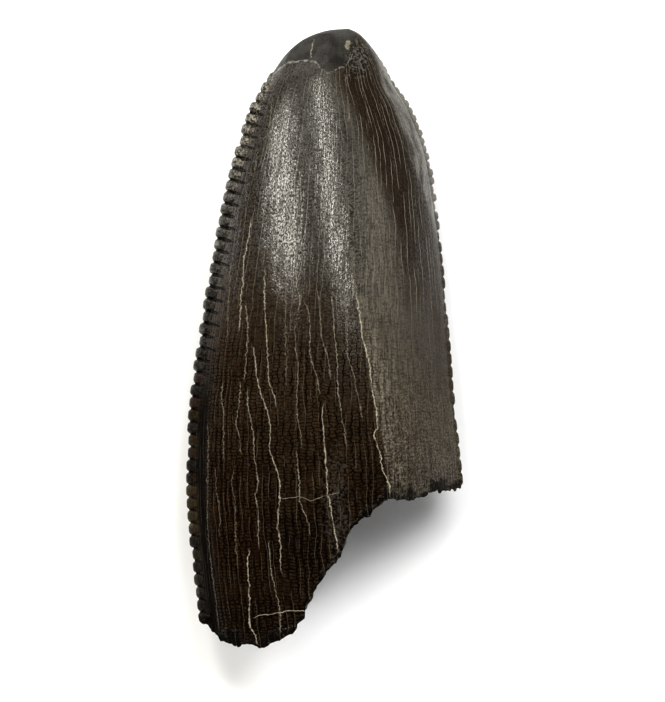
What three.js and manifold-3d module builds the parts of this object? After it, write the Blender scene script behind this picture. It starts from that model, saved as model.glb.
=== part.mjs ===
// A partial tyrannosaur tooth crown: one fossil solid, lying on its side on a small flat spot.
// Millimetres. +Y runs from the broken base to the tip, +X from the rear (distal) cutting edge to the
// front (mesial) one, and +Z up from the surface that the tooth lies on.

import * as THREE from 'three';
import { mergeVertices } from 'three/addons/utils/BufferGeometryUtils.js';
import Module from 'manifold-3d';

const wasm = await Module();
wasm.setup();

// ---- Driving dimensions ----

const crownLength = 30.2; // lowest point of the broken base to the tip, before the tip wore down
const restLevel = 0.3; // the underside is worn flat below this height
const midHeight = 4.3; // height of the crown's middle plane above the lowest point of its belly
const noseDown = { slope: 0.06, from: 12 }; // the middle plane falls towards the tip, down to the belly

// Lines along the crown, as [distance from the base, value] pairs. The first two are the cutting edges
// under their denticles, and the others are heights.
const rearEdge = [
  [-4, -5.2], [0, -5.75], [2.2, -6.02], [5.1, -6.34], [8.5, -6.5], [12.2, -6.3], [16.8, -5.62],
  [21.5, -4.76], [24, -4.15], [26.2, -3.46], [27.3, -2.95], [28.15, -2.44], [28.8, -1.98], [29.3, -1.47],
  [29.65, -0.95], [29.95, -0.2], [crownLength, 1],
];
const frontEdge = [
  [-4, 6.7], [0, 6.72], [8.05, 6.6], [12.2, 6.18], [16.8, 5.82], [21.5, 5.34], [24, 4.92],
  [26.2, 4.1], [27.3, 3.42], [28.1, 3.05], [28.7, 2.72], [29.2, 2.36], [29.65, 1.98], [29.95, 1.6],
  [crownLength, 1],
];
const upperBulge = [
  [-4, 4.15], [4, 4.3], [10, 4.3], [16, 4.0], [21, 3.4], [25, 2.62], [27.6, 1.95], [29, 1.3],
  [29.7, 0.75], [crownLength, 0],
];
const lowerBulge = [
  [-4, 3.5], [3, 4.05], [8, 4.25], [13, 4.25], [18, 3.75], [23, 2.95], [26.5, 2.15], [28.6, 1.4],
  [29.6, 0.8], [crownLength, 0],
];
// How far the rear edge lies above the middle plane, and the front one below it. The front edge twists down
// towards the tip, which leaves a steep face above it.
const rearRise = [[-4, 0.1], [14, 0.25], [24, 0.45], [28.5, 0.3], [crownLength, 0]];
const frontFall = [[-4, 0.3], [10, 0.4], [15, 0.9], [20, 1.9], [25, 1.85], [28.5, 0.9], [crownLength, 0]];
// Where the ridge of the upper face runs: 0 is the middle of the width and 1 the front edge.
const ridgePlace = [[-4, 0.47], [8, 0.46], [16, 0.38], [21, 0.22], [26, 0.02], [crownLength, 0]];
const bellyPlace = -0.1; // the same for the lowest line of the underside
// How a side falls from the ridge to its edge: (1 - distance ** bow) ** drop. The front flank is nearly flat
// below and blunt above, and the rear one is lean, as a blade is.
const frontBow = [[8, 1.2], [19, 2.2]];
const frontDrop = [[8, 0.86], [19, 0.52]];
const rearFlank = { bow: 2, drop: 0.72 };
const belly = { bow: 2, drop: 0.62 };
const crownMesh = { around: 40, along: 48 };

// The base broke off along this line, seen from above: [x, y] pairs.
const breakLine = [
  [-9, 1.8], [-6.6, 1.4], [-6.05, 1.15], [-5.5, 0.78], [-5.1, 0.5], [-4.7, 0.2], [-4.0, 0.02], [-3.15, 0.02],
  [-2.2, 0.3], [-1.55, 0.75], [-1.0, 1.45], [-0.6, 2.4], [-0.2, 3.2], [0.45, 4.05], [0.8, 4.45], [1.1, 5.15],
  [1.4, 5.75], [1.95, 6.3], [2.5, 6.7], [3.15, 7.1], [4.2, 7.2], [4.95, 7.33], [5.6, 7.5], [6.5, 7.6],
  [7, 7.85], [9, 8.1],
];
// The fracture's face. Its undercut is mm of retreat per mm below the middle plane.
const fracture = { undercut: 0.26, hollow: 0.27, lip: 0.8, grit: 0.16 };
const fractureGrid = { across: 40, up: 16 };

// The flat that the tip wore down to, as a plane through a point.
const tipFacet = { point: new THREE.Vector3(-0.3, 28.26, 4.86), tilt: 0.838, roll: 0.32 };

const denticleMesh = { around: 10, along: 3 };
const denticleSquareness = 0.78; // power of the round form: 1 is an ellipsoid, less is blockier
// How far apart the denticles sit, as [distance from the base, pitch] pairs.
const rearPitch = [[0, 0.63], [16, 0.62], [27, 0.58]];
const frontPitch = [[0, 0.66], [18, 0.62], [24, 0.5], [29, 0.45]];
const denticleFill = 0.65; // half a denticle's length, in pitches: over 0.5, so that neighbours merge
const rearDenticles = { from: 1.35, to: 26.9, out: 0.72, across: 0.66, sink: 0.3, lift: 0.35 };
const frontDenticles = { from: 8.1, to: 28.6, out: 0.5, across: 0.6, sink: 0.2, lift: -0.3 };

const fossilBrown = { color: 0x3a3026, roughness: 0.38, metalness: 0 };

// ---- Helpers ----

// A smooth curve through [position, value] pairs, read at any position.
function lineThrough(pairs) {
  const slope = pairs.map((p, i) => {
    const before = pairs[Math.max(0, i - 1)];
    const after = pairs[Math.min(pairs.length - 1, i + 1)];
    return (after[1] - before[1]) / (after[0] - before[0]);
  });
  return (at) => {
    let i = pairs.findIndex((p) => p[0] > at) - 1;
    if (i === -2) i = pairs.length - 2;
    i = Math.max(0, i);
    const [x0, v0] = pairs[i];
    const [x1, v1] = pairs[i + 1];
    const span = x1 - x0;
    const t = THREE.MathUtils.clamp((at - x0) / span, 0, 1);
    const u = 1 - t;
    const bend = span * t * u * (u * slope[i] - t * slope[i + 1]);
    return u * u * (1 + 2 * t) * v0 + t * t * (3 - 2 * t) * v1 + bend;
  };
}

const rearX = lineThrough(rearEdge);
const frontX = lineThrough(frontEdge);
const upperRise = lineThrough(upperBulge);
const lowerDrop = lineThrough(lowerBulge);
const rearLift = lineThrough(rearRise);
const frontSink = lineThrough(frontFall);
const ridgeAt = lineThrough(ridgePlace);
const bowAt = lineThrough(frontBow);
const dropAt = lineThrough(frontDrop);
const breakY = lineThrough(breakLine);
const middleZ = (y) => midHeight - noseDown.slope * (y - noseDown.from);

// A number from 0 to 1 that looks random and is the same for the same seed.
function chance(seed) {
  const value = Math.sin(seed * 127.1 + 11.7) * 43758.5453;
  return value - Math.floor(value);
}

// Height of the crown's surface before wear and breakage. place runs from -1 at the rear edge to 1 at the
// front one.
function surfaceZ(y, place, upper) {
  const ridge = upper ? ridgeAt(y) : bellyPlace;
  const towardsFront = place > ridge;
  const distance = Math.min(1, Math.abs(place - ridge) / (towardsFront ? 1 - ridge : 1 + ridge));
  const lowerForm = upper ? rearFlank : belly;
  const form = upper && towardsFront ? { bow: bowAt(y), drop: dropAt(y) } : lowerForm;
  const peak = middleZ(y) + (upper ? upperRise(y) : -lowerDrop(y));
  const edge = middleZ(y) + (towardsFront ? -frontSink(y) : rearLift(y));
  return edge + (peak - edge) * Math.max(0, 1 - distance ** form.bow) ** form.drop;
}

// A point on the crown's surface. angle 0 is the front cutting edge, PI/2 the upper face, PI the rear cutting
// edge and 3 PI/2 the underside.
function crownPoint(y, angle) {
  const middle = (rearX(y) + frontX(y)) / 2;
  const halfWidth = (frontX(y) - rearX(y)) / 2;
  const place = Math.cos(angle);
  return new THREE.Vector3(middle + halfWidth * place, y, surfaceZ(y, place, Math.sin(angle) >= 0));
}

function toSolid(geometry) {
  const bare = geometry.clone();
  bare.deleteAttribute('normal');
  bare.deleteAttribute('uv');
  const merged = mergeVertices(bare, 1e-4);
  return new wasm.Manifold(new wasm.Mesh({
    numProp: 3,
    vertProperties: merged.attributes.position.array,
    triVerts: new Uint32Array(merged.index.array),
  }));
}

function toGeometry(solid) {
  const mesh = solid.getMesh();
  const geometry = new THREE.BufferGeometry();
  geometry.setAttribute('position', new THREE.BufferAttribute(new Float32Array(mesh.vertProperties), 3));
  geometry.setIndex(new THREE.BufferAttribute(new Uint32Array(mesh.triVerts), 1));
  geometry.computeVertexNormals();
  return geometry;
}

// Height of the upper face over a point, before wear and breakage.
function upperSurface(x, y) {
  const place = (2 * x - rearX(y) - frontX(y)) / (frontX(y) - rearX(y));
  return surfaceZ(y, THREE.MathUtils.clamp(place, -1, 1), true);
}

// ---- Pieces of the form ----

// A sphere whose poles become the tip and the base, and whose rings become the crown's sections.
function crownForm() {
  const geometry = new THREE.SphereGeometry(1, crownMesh.around, crownMesh.along);
  const position = geometry.attributes.position;
  const basePole = rearEdge[0][0];
  for (let i = 0; i < position.count; i++) {
    const fromTip = Math.acos(THREE.MathUtils.clamp(position.getY(i), -1, 1)) / Math.PI;
    // Rings crowd towards the tip, where the crown curves most.
    const y = crownLength - (crownLength - basePole) * fromTip ** 1.6;
    if (fromTip > 0.9999) {
      position.setXYZ(i, (rearX(basePole) + frontX(basePole)) / 2, basePole, middleZ(basePole));
      continue;
    }
    const angle = Math.atan2(position.getZ(i), position.getX(i));
    const p = crownPoint(y, angle < 0 ? angle + 2 * Math.PI : angle);
    position.setXYZ(i, p.x, p.y, p.z);
  }
  return toSolid(geometry);
}

// One rounded denticle, set on its cutting edge and pointing out of the crown.
function denticle(edgeAngle, y, row, pitch, size) {
  const here = crownPoint(y, edgeAngle);
  const along = crownPoint(y + 0.1, edgeAngle).sub(crownPoint(y - 0.1, edgeAngle)).normalize();
  const side = edgeAngle === 0 ? 1 : -1;
  const out = new THREE.Vector3(side, 0, row.lift).projectOnPlane(along).normalize();
  const across = new THREE.Vector3().crossVectors(out, along);
  const centre = here.addScaledVector(out, -row.sink);
  const frame = new THREE.Matrix4().makeBasis(
    out.multiplyScalar(row.out * size),
    along.multiplyScalar(pitch * denticleFill),
    across.multiplyScalar(row.across * size),
  );
  frame.setPosition(centre);
  const geometry = new THREE.SphereGeometry(1, denticleMesh.around, denticleMesh.along);
  const position = geometry.attributes.position;
  const square = (v) => Math.sign(v) * Math.abs(v) ** denticleSquareness;
  for (let i = 0; i < position.count; i++) {
    position.setXYZ(i, square(position.getX(i)), square(position.getY(i)), square(position.getZ(i)));
  }
  return toSolid(geometry.applyMatrix4(frame));
}

// A row of denticles, spaced by their pitch along a curved cutting edge.
function denticleRow(edgeAngle, row, pitchAt, sizeAt) {
  const denticles = [];
  let y = row.from;
  while (y < row.to) {
    const pitch = pitchAt(y);
    denticles.push(denticle(edgeAngle, y, row, pitch, sizeAt(y, denticles.length)));
    const step = crownPoint(y + 0.1, edgeAngle).distanceTo(crownPoint(y, edgeAngle)) / 0.1;
    y += pitch / step;
  }
  return denticles;
}

// Denticles are smaller towards the tip, and no two are quite alike.
function rearSize(y, index) {
  return (1 - 0.2 * THREE.MathUtils.smoothstep(y, 18, 27)) * (0.94 + 0.12 * chance(index));
}

// The front row is crisp only near the tip. Lower down it is worn, and here and there one has chipped away.
function frontSize(y, index) {
  const wear = 1 - THREE.MathUtils.smoothstep(y, 19.5, 22.5);
  const chipped = chance(index + 40) < 0.25 ? 0.22 : 0;
  const tipTaper = 1 - 0.4 * THREE.MathUtils.smoothstep(y, 26.3, 28.6);
  return tipTaper * (0.95 + 0.1 * chance(index + 90)) * (1 - wear * (0.14 + chipped));
}

// How far up the crown the fracture lies. It only ever hollows back under its upper lip.
function fractureY(x, z) {
  const lipY = breakY(x);
  const depth = Math.max(0, upperSurface(x, lipY) - z);
  const shells =
    2.6 + Math.sin(1.5 * x + 0.9 * z) + Math.sin(0.8 * x - 1.7 * z + 2) + 0.5 * Math.sin(3.1 * x + 2.3 * z);
  const grit = chance(Math.round(x * 50) * 3.7 + Math.round(z * 50) * 0.91);
  return (
    lipY +
    fracture.hollow * shells * (1 - Math.exp(-depth / fracture.lip)) +
    fracture.undercut * Math.max(0, middleZ(lipY) - z) +
    fracture.grit * (depth > 0 ? grit : 0)
  );
}

// What broke away at the base: a block whose tipward face is the rough fracture.
function brokenBase() {
  const width = 18;
  const height = 12;
  const geometry = new THREE.BoxGeometry(width, 2, height, fractureGrid.across, 1, fractureGrid.up);
  const position = geometry.attributes.position;
  for (let i = 0; i < position.count; i++) {
    const x = position.getX(i);
    const z = position.getZ(i) + midHeight;
    const y = position.getY(i) > 0 ? fractureY(x, z) : rearEdge[0][0] - 4;
    position.setXYZ(i, x, y, z);
  }
  return toSolid(geometry);
}

// A large block above the plane that the tip wore down to.
function wornTip() {
  const block = 12;
  const geometry = new THREE.BoxGeometry(block, block, block);
  geometry.translate(0, block / 2, 0);
  geometry.rotateX(tipFacet.tilt);
  geometry.rotateZ(tipFacet.roll);
  geometry.translate(tipFacet.point.x, tipFacet.point.y, tipFacet.point.z);
  return toSolid(geometry);
}

// Everything under the level that the underside is worn to.
function wornUnderside() {
  const depth = 4;
  const geometry = new THREE.BoxGeometry(40, 80, depth);
  geometry.translate(0, 0, restLevel - depth / 2);
  return toSolid(geometry);
}

// ---- The tooth ----

let solid = crownForm();
const denticles = [
  ...denticleRow(Math.PI, rearDenticles, lineThrough(rearPitch), rearSize),
  ...denticleRow(0, frontDenticles, lineThrough(frontPitch), frontSize),
];
for (const one of denticles) solid = solid.add(one);
for (const lost of [brokenBase(), wornTip(), wornUnderside()]) solid = solid.subtract(lost);

const geometry = toGeometry(solid);
geometry.computeBoundingBox();
const { min, max } = geometry.boundingBox;

const tooth = new THREE.Mesh(geometry, new THREE.MeshStandardMaterial(fossilBrown));
tooth.name = 'tooth';
tooth.position.set(-(min.x + max.x) / 2, -(min.y + max.y) / 2, -min.z);

const group = new THREE.Group();
group.add(tooth);

export default group;
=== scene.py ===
import math

import bpy
import numpy as np
from mathutils import Matrix, Vector
from mathutils.bvhtree import BVHTree


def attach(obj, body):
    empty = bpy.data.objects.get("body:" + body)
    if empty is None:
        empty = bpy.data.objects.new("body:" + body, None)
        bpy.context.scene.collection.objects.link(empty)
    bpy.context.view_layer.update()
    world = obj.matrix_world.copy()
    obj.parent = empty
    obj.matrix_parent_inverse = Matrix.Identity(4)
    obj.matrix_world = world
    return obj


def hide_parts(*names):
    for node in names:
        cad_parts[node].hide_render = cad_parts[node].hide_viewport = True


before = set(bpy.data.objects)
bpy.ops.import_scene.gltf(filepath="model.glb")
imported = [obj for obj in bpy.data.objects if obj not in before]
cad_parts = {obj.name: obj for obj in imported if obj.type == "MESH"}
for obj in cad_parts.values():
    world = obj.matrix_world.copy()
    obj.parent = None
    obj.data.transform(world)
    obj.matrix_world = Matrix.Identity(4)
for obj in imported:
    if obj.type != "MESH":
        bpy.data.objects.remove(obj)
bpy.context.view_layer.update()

# The tooth is modelled in millimetres from its broken base, then moved into the frame and made metres.
mm = 0.001
toFrame = Vector((0.0315, -15.1765, -0.3))  # mm, from the crown's own measure to the frame's


def pickNone():
    bpy.ops.object.select_all(action='DESELECT')


def applyPlace():
    bpy.ops.object.transform_apply(location=True, rotation=True, scale=True)


def readPoints(piece):
    points = np.zeros(len(piece.data.vertices) * 3)
    piece.data.vertices.foreach_get('co', points)
    return points.reshape(-1, 3)


def movePoints(piece, points):
    piece.data.vertices.foreach_set('co', points.ravel())
    piece.data.update()


def pickOnly(piece):
    # operators act on all that is selected, so only this piece is
    if bpy.context.object and bpy.context.object.mode != 'OBJECT':
        bpy.ops.object.mode_set(mode='OBJECT')
    pickNone()
    piece.select_set(True)
    bpy.context.view_layer.objects.active = piece
    return piece


def applyModifier(piece, kind, **settings):
    pickOnly(piece)
    modifier = piece.modifiers.new(kind.title(), kind)
    for name, value in settings.items():
        setattr(modifier, name, value)
    bpy.ops.object.modifier_apply(modifier=modifier.name)


def joinAll(pieces, name):
    pickNone()
    for piece in pieces:
        piece.select_set(True)
    bpy.context.view_layer.objects.active = pieces[0]
    bpy.ops.object.join()
    pieces[0].name = name
    return pieces[0]


def lineThrough(pairs):
    # a smooth curve through [position, value] pairs, for one position or an array of them
    at = np.array([p[0] for p in pairs], float)
    value = np.array([p[1] for p in pairs], float)
    before = np.maximum(np.arange(len(at)) - 1, 0)
    after = np.minimum(np.arange(len(at)) + 1, len(at) - 1)
    slope = (value[after] - value[before]) / (at[after] - at[before])

    def read(x):
        x = np.clip(x, at[0], at[-1])
        i = np.clip(np.searchsorted(at, x, side='right') - 1, 0, len(at) - 2)
        span = at[i + 1] - at[i]
        t = (x - at[i]) / span
        u = 1 - t
        bend = span * t * u * (u * slope[i] - t * slope[i + 1])
        return u * u * (1 + 2 * t) * value[i] + t * t * (3 - 2 * t) * value[i + 1] + bend
    return read


def chance(seed):
    # the same number from 0 to 1 for the same seed on every run
    value = math.sin(seed * 127.1 + 11.7) * 43758.5453
    return value - math.floor(value)


crown = {
    'length': 30.2,            # mm, before the tip wore down
    'restLevel': 0.3,          # the underside is worn flat below this
    'midHeight': 4.3,          # of the middle plane, where it starts to fall
    'noseDown': (0.06, 12),    # how steeply it falls to the tip, and from where
    # the lines along the crown: [distance from the base, value]
    'rearEdge': [[-4, -5.2], [0, -5.75], [2.2, -6.02], [5.1, -6.34], [8.5, -6.5], [12.2, -6.3],
                 [16.8, -5.62], [21.5, -4.76], [24, -4.15], [26.2, -3.46], [27.3, -2.95],
                 [28.15, -2.44], [28.8, -1.98], [29.3, -1.47], [29.65, -0.95], [29.95, -0.2], [30.2, 1]],
    'frontEdge': [[-4, 6.7], [0, 6.72], [8.05, 6.6], [12.2, 6.18], [16.8, 5.82], [21.5, 5.34], [24, 4.92],
                  [26.2, 4.1], [27.3, 3.42], [28.1, 3.05], [28.7, 2.72], [29.2, 2.36], [29.65, 1.98],
                  [29.95, 1.6], [30.2, 1]],
    'upperBulge': [[-4, 4.15], [4, 4.3], [10, 4.3], [16, 4.0], [21, 3.4], [25, 2.62], [27.6, 1.95],
                   [29, 1.3], [29.7, 0.75], [30.2, 0]],
    'lowerBulge': [[-4, 3.5], [3, 4.05], [8, 4.25], [13, 4.25], [18, 3.75], [23, 2.95], [26.5, 2.15],
                   [28.6, 1.4], [29.6, 0.8], [30.2, 0]],
    'rearRise': [[-4, 0.1], [14, 0.25], [24, 0.45], [28.5, 0.3], [30.2, 0]],
    'frontFall': [[-4, 0.3], [10, 0.4], [15, 0.9], [20, 1.9], [25, 1.85], [28.5, 0.9], [30.2, 0]],
    'ridgePlace': [[-4, 0.47], [8, 0.45], [11, 0.42], [14.4, 0.35], [16.8, 0.27], [19.3, 0.2], [22, 0.14],
                   [26, 0.06], [30.2, 0]],
    'ridgeSoft': [[8, 0.05], [19, 0.12]],
    # how far the edges stand in, so that the denticles reach the true outline
    'rearInset': [[0, 0.05], [30, 0.05]],
    'frontInset': [[0, -0.05], [19, -0.05], [22, 0.04]],
    'insetLimit': 0.2,         # of the half width
    # the two powers that bend a flank: the front one changes up the crown, the others don't
    'frontBow': [[8, 1.2], [19, 1.35]],
    'frontDrop': [[8, 0.86], [16, 0.74], [19.5, 0.52], [21.5, 0.36], [25, 0.3]],
    'rearFlank': (2, 0.72),
    'belly': (2, 0.62),
    'bellyPlace': -0.1,        # of the belly's lowest line, 0 is half way between the edges
    'start': -3.6,             # mm, lofted on below the break
    'around': 220, 'rings': 170,
    'crowding': 1.5, 'lastGap': 0.004,  # the rings crowd towards the tip
    'meanRadius': 5.4,         # mm, turns angles into a way round the crown
}
rearX = lineThrough(crown['rearEdge'])
frontX = lineThrough(crown['frontEdge'])
upperRise = lineThrough(crown['upperBulge'])
lowerDrop = lineThrough(crown['lowerBulge'])
rearLift = lineThrough(crown['rearRise'])
frontSink = lineThrough(crown['frontFall'])
ridgeAt = lineThrough(crown['ridgePlace'])
softAt = lineThrough(crown['ridgeSoft'])
bowAt = lineThrough(crown['frontBow'])
dropAt = lineThrough(crown['frontDrop'])


def middleZ(y):
    slope, start = crown['noseDown']
    return crown['midHeight'] - slope * (y - start)


def surfaceZ(y, place, upper):
    # place runs from -1 at the rear edge to 1 at the front one
    ridge = np.where(upper, ridgeAt(y), crown['bellyPlace'])
    front = place > ridge
    distance = np.minimum(1, np.abs(place - ridge) / np.where(front, 1 - ridge, 1 + ridge))
    soft = softAt(y)
    rounded = (np.sqrt(distance ** 2 + soft ** 2) - soft) / (np.sqrt(1 + soft ** 2) - soft)
    distance = np.where(np.logical_and(front, upper), rounded, distance)
    bow = np.where(upper, np.where(front, bowAt(y), crown['rearFlank'][0]), crown['belly'][0])
    drop = np.where(upper, np.where(front, dropAt(y), crown['rearFlank'][1]), crown['belly'][1])
    peak = middleZ(y) + np.where(upper, upperRise(y), -lowerDrop(y))
    edge = middleZ(y) + np.where(front, -frontSink(y), rearLift(y))
    return edge + (peak - edge) * np.maximum(0, 1 - distance ** bow) ** drop


def crownPoint(y, angle):
    place = math.cos(angle)
    halfWidth = (frontX(y) - rearX(y)) / 2
    x = (frontX(y) + rearX(y)) / 2 + halfWidth * place
    return Vector((float(x), float(y), float(surfaceZ(y, place, math.sin(angle) >= 0))))


def makeCrown():
    base, tip = crown['start'], crown['length']
    pickNone()
    bpy.ops.mesh.primitive_circle_add(vertices=crown['around'], radius=1, fill_type='NGON',
                                      location=(0, base, 0), rotation=(math.pi / 2, 0, 0))
    piece = bpy.context.object
    piece.name = 'crown'
    applyPlace()
    bpy.ops.object.mode_set(mode='EDIT')
    bpy.ops.mesh.select_all(action='SELECT')
    here = base
    for ring in range(1, crown['rings'] + 1):
        left = 1 - ring / crown['rings']
        there = tip - (tip - base) * max(left, crown['lastGap']) ** crown['crowding']
        bpy.ops.mesh.extrude_region_move(TRANSFORM_OT_translate={'value': (0, there - here, 0)})
        here = there
    bpy.ops.mesh.select_all(action='SELECT')
    bpy.ops.mesh.normals_make_consistent(inside=False)
    bpy.ops.object.mode_set(mode='OBJECT')
    # each ring is fitted to the crown's section there
    points = readPoints(piece)
    y = points[:, 1]
    angle = np.arctan2(points[:, 2], points[:, 0])
    place = np.cos(angle)
    halfWidth = (frontX(y) - rearX(y)) / 2
    inset = np.where(place > 0, lineThrough(crown['frontInset'])(y), lineThrough(crown['rearInset'])(y))
    inset = np.minimum(inset, halfWidth * crown['insetLimit'])
    points[:, 0] = (frontX(y) + rearX(y)) / 2 + (halfWidth - inset * np.abs(place)) * place
    points[:, 2] = surfaceZ(y, place, np.sin(angle) >= 0)
    movePoints(piece, points)
    return piece


denticle = {
    # the lines up each row: how far apart the denticles are, how far they stand out of the crown's edge,
    # and the two half widths of one
    'rear': {'from': 1.35, 'to': 28.0, 'lift': 0.35, 'chipped': 0.5,
             'pitch': [[0, 0.63], [16, 0.6], [27, 0.56]],
             'reach': [[0, 0.22], [25.6, 0.22], [28, 0.02]],
             'out': [[0, 0.52], [25.6, 0.55], [28, 0.35]],
             'across': [[0, 0.64], [25.6, 0.66], [28, 0.35]]},
    'front': {'from': 8.1, 'to': 28.6, 'lift': -0.3, 'chipped': 0.6,
              'pitch': [[0, 0.66], [18, 0.62], [22, 0.42], [29, 0.4]],
              'reach': [[0, 0.18], [19, 0.18], [22, 0.2], [26.2, 0.2], [28.4, 0]],
              'out': [[0, 0.3], [19, 0.3], [22, 0.45], [26.2, 0.42], [28.4, 0.2]],
              'across': [[0, 0.3], [19, 0.3], [22, 0.42], [26.2, 0.4], [28.4, 0.2]]},
    'fill': 0.53,              # half a denticle's length, in pitches
    'rimRound': 0.6,           # of the disc that a denticle is made from
    'corners': 24, 'rimSteps': 4,
    'thinned': 0.2,            # how much narrower a fully chipped one is
}


def makeOneDenticle():
    # a fat disc with a well rounded rim, one unit from its middle each way, standing on edge
    pickNone()
    bpy.ops.mesh.primitive_cylinder_add(vertices=denticle['corners'], radius=1, depth=2,
                                        rotation=(math.pi / 2, 0, 0))
    block = bpy.context.object
    applyPlace()
    bpy.ops.object.mode_set(mode='EDIT')
    bpy.ops.mesh.select_mode(type='EDGE')
    bpy.ops.mesh.select_all(action='DESELECT')
    bpy.ops.mesh.edges_select_sharp(sharpness=math.radians(60))
    bpy.ops.mesh.bevel(offset=denticle['rimRound'], segments=denticle['rimSteps'], affect='EDGES')
    bpy.ops.mesh.select_mode(type='VERT')
    bpy.ops.object.mode_set(mode='OBJECT')
    return block


def denticlePlaces(row, edgeAngle):
    # how far up the crown each denticle of a row stands
    pitchAt = lineThrough(row['pitch'])
    places = []
    y = row['from']
    while y < row['to']:
        places.append(y)
        step = (crownPoint(y + 0.1, edgeAngle) - crownPoint(y, edgeAngle)).length / 0.1
        y += float(pitchAt(y)) / step
    return places


def makeDenticleRow(block, row, edgeAngle):
    pitchAt, reachAt, outAt, acrossAt = [lineThrough(row[name])
                                         for name in ('pitch', 'reach', 'out', 'across')]
    copies = []
    for index, y in enumerate(denticlePlaces(row, edgeAngle)):
        chip = row['chipped'] * chance(index + 90) ** 3
        along = (crownPoint(y + 0.1, edgeAngle) - crownPoint(y - 0.1, edgeAngle)).normalized()
        out = Vector((math.cos(edgeAngle), 0, row['lift']))
        out = (out - along * out.dot(along)).normalized()
        across = out.cross(along)
        centre = crownPoint(y, edgeAngle) + out * float(reachAt(y) * (1 - chip) - outAt(y))
        one = block.copy()
        one.data = block.data.copy()
        bpy.context.collection.objects.link(one)
        axes = Matrix((out * float(outAt(y)), along * float(pitchAt(y)) * denticle['fill'],
                       across * float(acrossAt(y)) * (1 - denticle['thinned'] * chip)))
        axes = axes.transposed().to_4x4()
        one.matrix_world = Matrix.Translation(centre) @ axes
        copies.append(one)
    return copies


def makeDenticles():
    block = makeOneDenticle()
    rows = makeDenticleRow(block, denticle['rear'], math.pi)
    rows += makeDenticleRow(block, denticle['front'], 0)
    bpy.data.objects.remove(block)
    piece = joinAll(rows, 'denticles')
    applyPlace()
    return piece


wear = {
    # the flat worn on the tip, and the cut that ends the tip
    'facetPoint': Vector((-0.3, 28.26, 4.86)), 'facetTilt': 0.82, 'facetRoll': 0.46,
    'tipEnd': ((0.3, 29.98, 4), (-0.06, 1, 0.1)),
    # the line that the base broke off along, seen from above
    'breakLine': [[-9, 1.8], [-6.6, 1.4], [-6.05, 1.15], [-5.5, 0.78], [-5.1, 0.5], [-4.7, 0.2],
                  [-4.0, 0.02], [-3.15, 0.02], [-2.2, 0.3], [-1.55, 0.75], [-1.0, 1.45], [-0.6, 2.4],
                  [-0.2, 3.2], [0.45, 4.05], [0.8, 4.45], [1.1, 5.15], [1.4, 5.75], [1.95, 6.3],
                  [2.5, 6.7], [3.15, 7.1], [4.2, 7.2], [4.95, 7.33], [5.6, 7.5], [6.5, 7.6],
                  [7, 7.85], [9, 8.1]],
    'undercut': 0.26, 'hollow': 0.27, 'lip': 0.8,  # how the broken face leans and hollows under its lip
    'block': (17, 11, 15), 'blockGrid': (150, 96), 'blockLift': 0.3,
    # grains and small steps of the broken face: [size, how far they stand, which way]
    'grains': [(1.1, 0.34, 'Y'), (0.42, 0.34, 'NORMAL'), (0.2, 0.18, 'NORMAL')],
    'cutSearch': 0.1, 'cutGap': 0.004,  # mm, how near a face is to the cut that left it
    'voxel': 0.06,             # mm, of the remeshed crown
    'smoothing': (0.5, 2),
    'triangles': 150000,
    'sharpAngle': 38,          # degrees
}
breakY = lineThrough(wear['breakLine'])


def facetNormal():
    tilt, roll = wear['facetTilt'], wear['facetRoll']
    return Vector((-math.cos(tilt) * math.sin(roll), math.cos(tilt) * math.cos(roll), math.sin(tilt)))


def cutFlat(piece, point, normal):
    pickOnly(piece)
    bpy.ops.object.mode_set(mode='EDIT')
    bpy.ops.mesh.select_all(action='SELECT')
    bpy.ops.mesh.bisect(plane_co=point, plane_no=normal, use_fill=True, clear_outer=True)
    bpy.ops.object.mode_set(mode='OBJECT')


def makeBrokenBase():
    # the block that broke away: its tipward face is the rough fracture
    width, height, depth = wear['block']
    columns, rows = wear['blockGrid']
    middle = (0, 0, crown['midHeight'] + wear['blockLift'])
    pickNone()
    bpy.ops.mesh.primitive_grid_add(x_subdivisions=columns, y_subdivisions=rows, size=1,
                                    location=middle, rotation=(math.pi / 2, 0, 0))
    piece = bpy.context.object
    piece.name = 'brokenBase'
    piece.scale = (width, height, 1)
    applyPlace()
    bpy.ops.object.mode_set(mode='EDIT')
    bpy.ops.mesh.select_all(action='SELECT')
    bpy.ops.mesh.extrude_region_move(TRANSFORM_OT_translate={'value': (0, -depth, 0)})
    bpy.ops.mesh.select_all(action='SELECT')
    bpy.ops.mesh.normals_make_consistent(inside=False)
    bpy.ops.object.mode_set(mode='OBJECT')
    points = readPoints(piece)
    front = points[:, 1] > -depth / 2
    x, z = points[front, 0], points[front, 2]
    lipY = breakY(x)
    place = np.clip((2 * x - rearX(lipY) - frontX(lipY)) / (frontX(lipY) - rearX(lipY)), -1, 1)
    depthBelow = np.maximum(0, surfaceZ(lipY, place, np.full(len(x), True)) - z)
    # slow waves, as where shells of the dentine came away
    shells = 2.6 + np.sin(1.5 * x + 0.9 * z) + np.sin(0.8 * x - 1.7 * z + 2)
    shells = shells + 0.5 * np.sin(3.1 * x + 2.3 * z)
    points[front, 1] = (lipY + wear['hollow'] * shells * (1 - np.exp(-depthBelow / wear['lip']))
                        + wear['undercut'] * np.maximum(0, middleZ(lipY) - z))
    movePoints(piece, points)
    for size, strength, direction in wear['grains']:
        grain = bpy.data.textures.new('grain', 'CLOUDS')
        grain.noise_scale = size
        grain.noise_depth = 2
        applyModifier(piece, 'DISPLACE', texture=grain, texture_coords='LOCAL', strength=strength,
                      mid_level=0.5, direction=direction)
    return piece


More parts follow.
